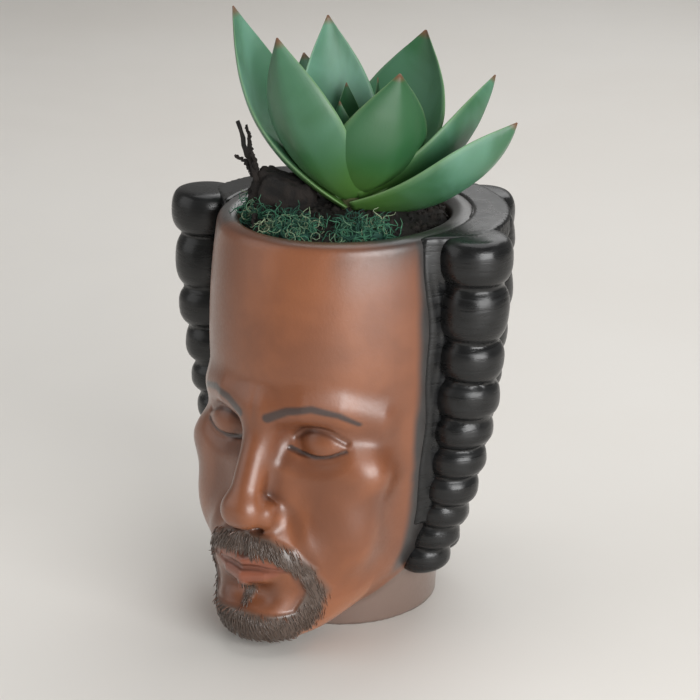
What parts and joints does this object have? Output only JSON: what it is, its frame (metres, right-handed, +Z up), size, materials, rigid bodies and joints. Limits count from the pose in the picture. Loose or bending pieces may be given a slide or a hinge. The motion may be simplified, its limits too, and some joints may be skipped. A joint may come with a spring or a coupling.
{
  "type": "head planter",
  "caption": "Tabletop planter cast as a head with rolled hair locks; the open crown is a tapered well that holds a succulent in soil, with a drain hole in the flat base.",
  "frame": {"origin": "centre of the drain hole in the flat bottom", "axes": "+Z up out of the planting well; the face looks along -Y, so +X is the head's own left side"},
  "size_m": [0.1198, 0.1238, 0.191],
  "materials": {
    "painted_resin": "satin",
    "hair_paint": "semi-gloss",
    "screen_plastic": "matte",
    "potting_soil": "matte",
    "stem_wood": "matte",
    "leaf_skin": "satin",
    "dyed_moss": "matte",
    "bark": "matte"
  },
  "bodies": {
    "head_pot": {"head_shell": "painted_resin", "hair_cap": "hair_paint", "side_lock_left": "hair_paint", "side_lock_right": "hair_paint", "back_lock_1": "hair_paint", "back_lock_2": "hair_paint", "back_lock_3": "hair_paint", "back_lock_4": "hair_paint", "back_lock_5": "hair_paint", "drain_screen": "screen_plastic"},
    "planting": {"soil_plug": "potting_soil", "plant_stem": "stem_wood", "leaf_01": "leaf_skin", "leaf_02": "leaf_skin", "leaf_03": "leaf_skin", "leaf_04": "leaf_skin", "leaf_05": "leaf_skin", "leaf_06": "leaf_skin", "leaf_07": "leaf_skin", "leaf_08": "leaf_skin", "leaf_09": "leaf_skin", "leaf_10": "leaf_skin", "leaf_11": "leaf_skin", "leaf_12": "leaf_skin", "moss_front": "dyed_moss", "moss_left": "dyed_moss", "moss_right": "dyed_moss", "bark_twig": "bark"}
  },
  "joints": [
    {"name": "planting_lift", "type": "slide", "parent": "head_pot", "child": "planting", "axis": [0, 0, 1], "range_m": [0, 0.13]}
  ]
}
